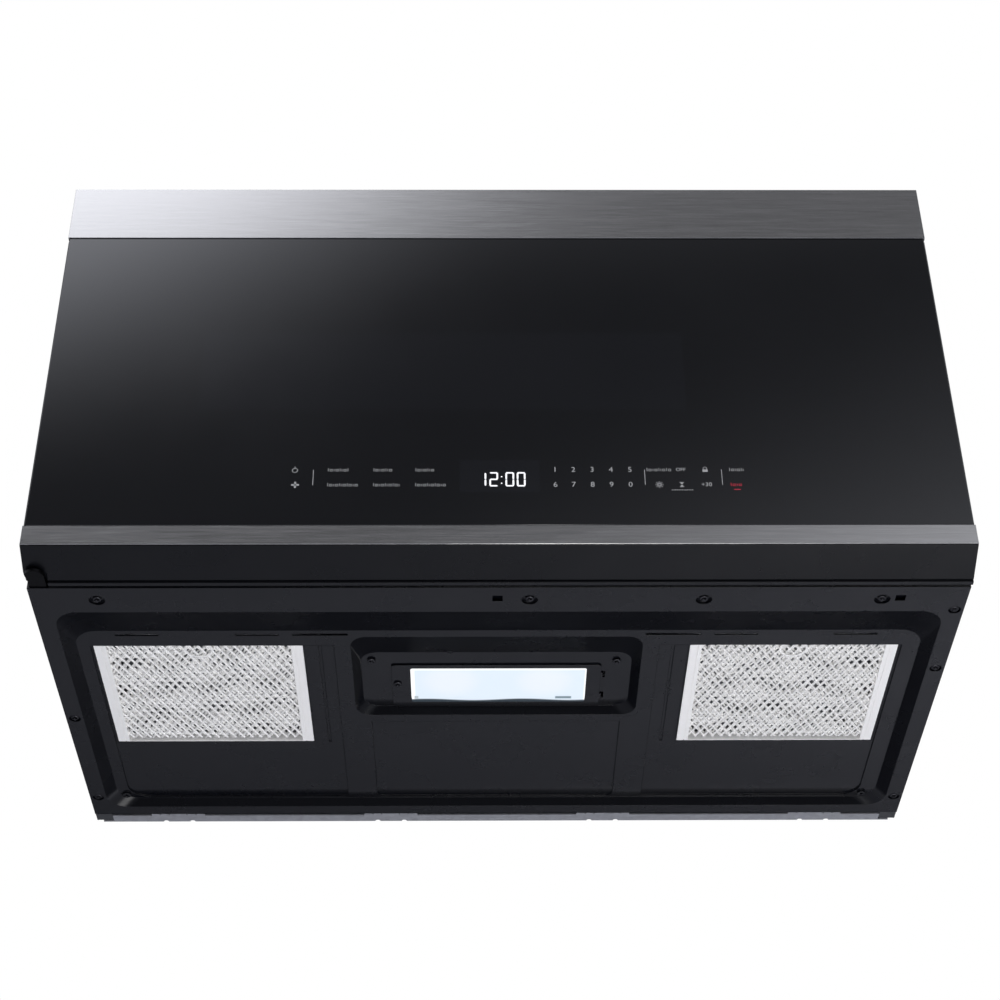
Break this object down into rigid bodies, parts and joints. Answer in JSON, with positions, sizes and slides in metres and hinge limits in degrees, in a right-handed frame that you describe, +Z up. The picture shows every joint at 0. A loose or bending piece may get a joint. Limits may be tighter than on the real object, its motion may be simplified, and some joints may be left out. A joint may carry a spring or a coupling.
{
  "type": "over the range microwave",
  "caption": "Over the range microwave oven with a side hinged glass door, top vent grille, and a recessed underside with two grease filters and a cooktop lamp.",
  "frame": {"origin": "middle of the outline on the plane the oven stands on", "axes": "+X to the right as seen from the kitchen, +Y towards the wall, +Z up"},
  "size_m": [0.759, 0.43, 0.409],
  "materials": {
    "case_paint": "satin black powder coat",
    "base_paint": "satin black paint on drawn sheet",
    "door_paint": "satin black paint",
    "screw_steel": "blackened steel",
    "galvanised": "galvanised sheet",
    "cavity_enamel": "light grey enamel",
    "brushed_trim": "brushed stainless steel, grain along the width",
    "black_moulding": "fine grained black moulding",
    "white_moulding": "plain natural moulding",
    "wheel_moulding": "glass filled moulding",
    "switch_moulding": "plain moulding",
    "charcoal": "activated charcoal in a grid",
    "hinge_steel": "blackened steel",
    "circuit_board": "solder resist",
    "zinc_motor": "zinc plated steel",
    "mica": "pressed mica sheet",
    "magnetron_metal": "pressed aluminium fins",
    "transformer_iron": "varnished laminations",
    "capacitor_can": "drawn can",
    "door_glass": "black printed tempered glass",
    "display_face": "dark display window",
    "screen_paint": "black painted perforated steel",
    "clear_glass": "clear tempered glass",
    "lamp_glass": "frosted lens",
    "filter_aluminium": "bright aluminium channel",
    "filter_mesh": "layers of expanded aluminium mesh"
  },
  "bodies": {
    "chassis": {"case_wrap": "case_paint", "base_plate": "base_paint", "base_screws": "screw_steel", "rear_panel": "galvanised", "wall_mounting_plate": "galvanised", "inner_base_plate": "galvanised", "front_frame": "base_paint", "oven_cavity": "cavity_enamel", "grille_trim": "brushed_trim", "vent_grille": "black_moulding", "charcoal_filter": "charcoal", "latch_bracket": "white_moulding", "door_switches": "switch_moulding", "hinge_lower": "hinge_steel", "hinge_upper": "hinge_steel", "lamp_housing": "galvanised", "lamp_board": "circuit_board", "turntable_motor": "zinc_motor", "blower_housing": "galvanised", "blower_motor": "zinc_motor", "duct_blank_plate": "galvanised", "bay_wall": "galvanised", "waveguide": "galvanised", "waveguide_cover": "mica", "magnetron": "magnetron_metal", "hv_transformer": "transformer_iron", "hv_capacitor": "capacitor_can", "cooling_fan_shroud": "white_moulding", "cooling_fan_motor": "transformer_iron", "power_board": "circuit_board", "noise_filter": "circuit_board", "cavity_lamp": "white_moulding", "cord_gland": "black_moulding"},
    "door": {"door_frame": "door_paint", "door_glass": "door_glass", "door_lower_trim": "brushed_trim", "touch_board": "circuit_board", "display_module": "display_face", "door_screen": "screen_paint", "door_inner_glass": "clear_glass", "door_choke_cover": "black_moulding"},
    "door_latch": {"latch_bar": "white_moulding", "latch_spring": "screw_steel"},
    "filter_left": {"grease_filter_frame_left": "filter_aluminium", "grease_filter_mesh_left": "filter_mesh"},
    "filter_right": {"grease_filter_frame_right": "filter_aluminium", "grease_filter_mesh_right": "filter_mesh"},
    "lamp_door": {"lamp_cover": "base_paint", "lamp_lens": "lamp_glass", "lamp_cover_screw": "screw_steel"},
    "turntable": {"turntable_coupler": "white_moulding", "glass_tray": "clear_glass"},
    "ring": {"roller_ring": "white_moulding"},
    "roller_1": {"tray_roller_1": "white_moulding"},
    "roller_2": {"tray_roller_2": "white_moulding"},
    "roller_3": {"tray_roller_3": "white_moulding"},
    "blower_rotor": {"blower_shaft": "hinge_steel", "blower_wheel_left": "wheel_moulding", "blower_wheel_right": "wheel_moulding"},
    "fan_rotor": {"cooling_fan_blade": "wheel_moulding"}
  },
  "joints": [
    {"name": "door_hinge", "type": "hinge", "parent": "chassis", "child": "door", "pos_m": [-0.3705, -0.19, 0], "axis": [0, 0, -1], "range_deg": [0, 105]},
    {"name": "latch_lift", "type": "slide", "parent": "door", "child": "door_latch", "axis": [0, 0, 1], "range_m": [0, 0.004], "stiffness_N_per_m": 150, "springref_m": -0.012, "deforming": ["latch_spring"]},
    {"name": "filter_left_slide", "type": "slide", "parent": "chassis", "child": "filter_left", "axis": [0, 0, -1], "range_m": [0, 0.06]},
    {"name": "filter_right_slide", "type": "slide", "parent": "chassis", "child": "filter_right", "axis": [0, 0, -1], "range_m": [0, 0.06]},
    {"name": "lamp_cover_hinge", "type": "hinge", "parent": "chassis", "child": "lamp_door", "pos_m": [0.0895, 0, 0.0152], "axis": [0, -1, 0], "range_deg": [0, 75]},
    {"name": "turntable_spin", "type": "hinge", "parent": "chassis", "child": "turntable", "pos_m": [-0.048, -0.0048, 0.08], "axis": [0, 0, 1], "continuous": true},
    {"name": "ring_turn", "type": "hinge", "parent": "chassis", "child": "ring", "pos_m": [-0.048, -0.0048, 0.0803], "axis": [0, 0, 1], "continuous": true},
    {"name": "roller_1_spin", "type": "hinge", "parent": "ring", "child": "roller_1", "pos_m": [-0.048, 0.0942, 0.0803], "axis": [0, 1, 0], "continuous": true},
    {"name": "roller_2_spin", "type": "hinge", "parent": "ring", "child": "roller_2", "pos_m": [-0.13374, -0.0543, 0.0803], "axis": [-0.866, -0.5, 0], "continuous": true},
    {"name": "roller_3_spin", "type": "hinge", "parent": "ring", "child": "roller_3", "pos_m": [0.03774, -0.0543, 0.0803], "axis": [0.866, -0.5, 0], "continuous": true},
    {"name": "blower_spin", "type": "hinge", "parent": "chassis", "child": "blower_rotor", "pos_m": [0, 0.13, 0.365], "axis": [1, 0, 0], "continuous": true},
    {"name": "fan_spin", "type": "hinge", "parent": "chassis", "child": "fan_rotor", "pos_m": [0.2825, 0.139, 0.238], "axis": [0, 1, 0], "continuous": true}
  ],
  "couplings": [
    {"joint": "ring_turn", "follows": "turntable_spin", "ratio": 0.5},
    {"joint": "roller_1_spin", "follows": "turntable_spin", "ratio": -6.1875},
    {"joint": "roller_2_spin", "follows": "turntable_spin", "ratio": -6.1875},
    {"joint": "roller_3_spin", "follows": "turntable_spin", "ratio": -6.1875}
  ]
}
